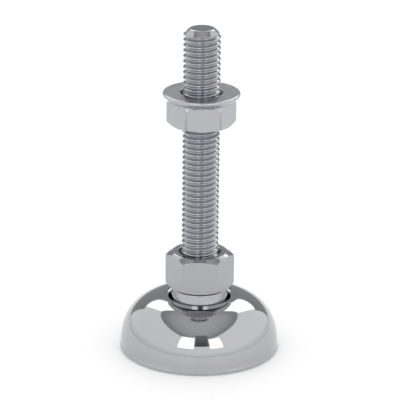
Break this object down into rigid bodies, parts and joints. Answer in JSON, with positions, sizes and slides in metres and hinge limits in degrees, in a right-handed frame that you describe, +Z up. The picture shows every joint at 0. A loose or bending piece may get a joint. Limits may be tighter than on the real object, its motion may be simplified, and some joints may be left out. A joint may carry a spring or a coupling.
{
  "type": "machine levelling foot",
  "caption": "Swivelling levelling foot: a chromed steel dome on a rubber pad, a ball-jointed threaded stud with its drive nut, and a flange nut that carries the machine",
  "frame": {"origin": "on the floor under the middle of the foot, at the centre of the rubber pad's underside", "axes": "+Z runs up along the upright stud, +X is to the right and -Y to the front in the picture's view"},
  "size_m": [0.051, 0.051, 0.106],
  "materials": {
    "chrome_plate": "bright chrome plate on pressed steel",
    "zinc_plate": "bright zinc plate on turned and rolled steel",
    "plain_steel": "plain oiled steel",
    "spring_steel": "blackened spring steel",
    "black_rubber": "moulded black rubber"
  },
  "bodies": {
    "base": {"base_dome": "chrome_plate", "rubber_pad": "black_rubber"},
    "seat": {"seat_plate": "plain_steel"},
    "ball": {"swivel_ball": "zinc_plate"},
    "stud": {"stud": "zinc_plate", "drive_nut": "zinc_plate", "retaining_ring": "spring_steel"},
    "nut": {"flange_nut": "zinc_plate"}
  },
  "joints": [
    {"name": "seat_turn", "type": "hinge", "parent": "base", "child": "seat", "pos_m": [0, 0, 0.01028], "axis": [0, 0, 1], "continuous": true},
    {"name": "stud_tilt", "type": "hinge", "parent": "seat", "child": "ball", "pos_m": [0, 0, 0.01028], "axis": [1, 0, 0], "range_deg": [-7, 7]},
    {"name": "stud_turn", "type": "hinge", "parent": "ball", "child": "stud", "pos_m": [0, 0, 0.01028], "axis": [0, 0, 1], "range_deg": [-3780, 8640]},
    {"name": "nut_travel", "type": "slide", "parent": "ball", "child": "nut", "axis": [0, 0, 1], "range_m": [-0.042, 0.01837]}
  ],
  "couplings": [
    {"joint": "stud_turn", "follows": "nut_travel", "rad_per_m": -3590.4}
  ]
}
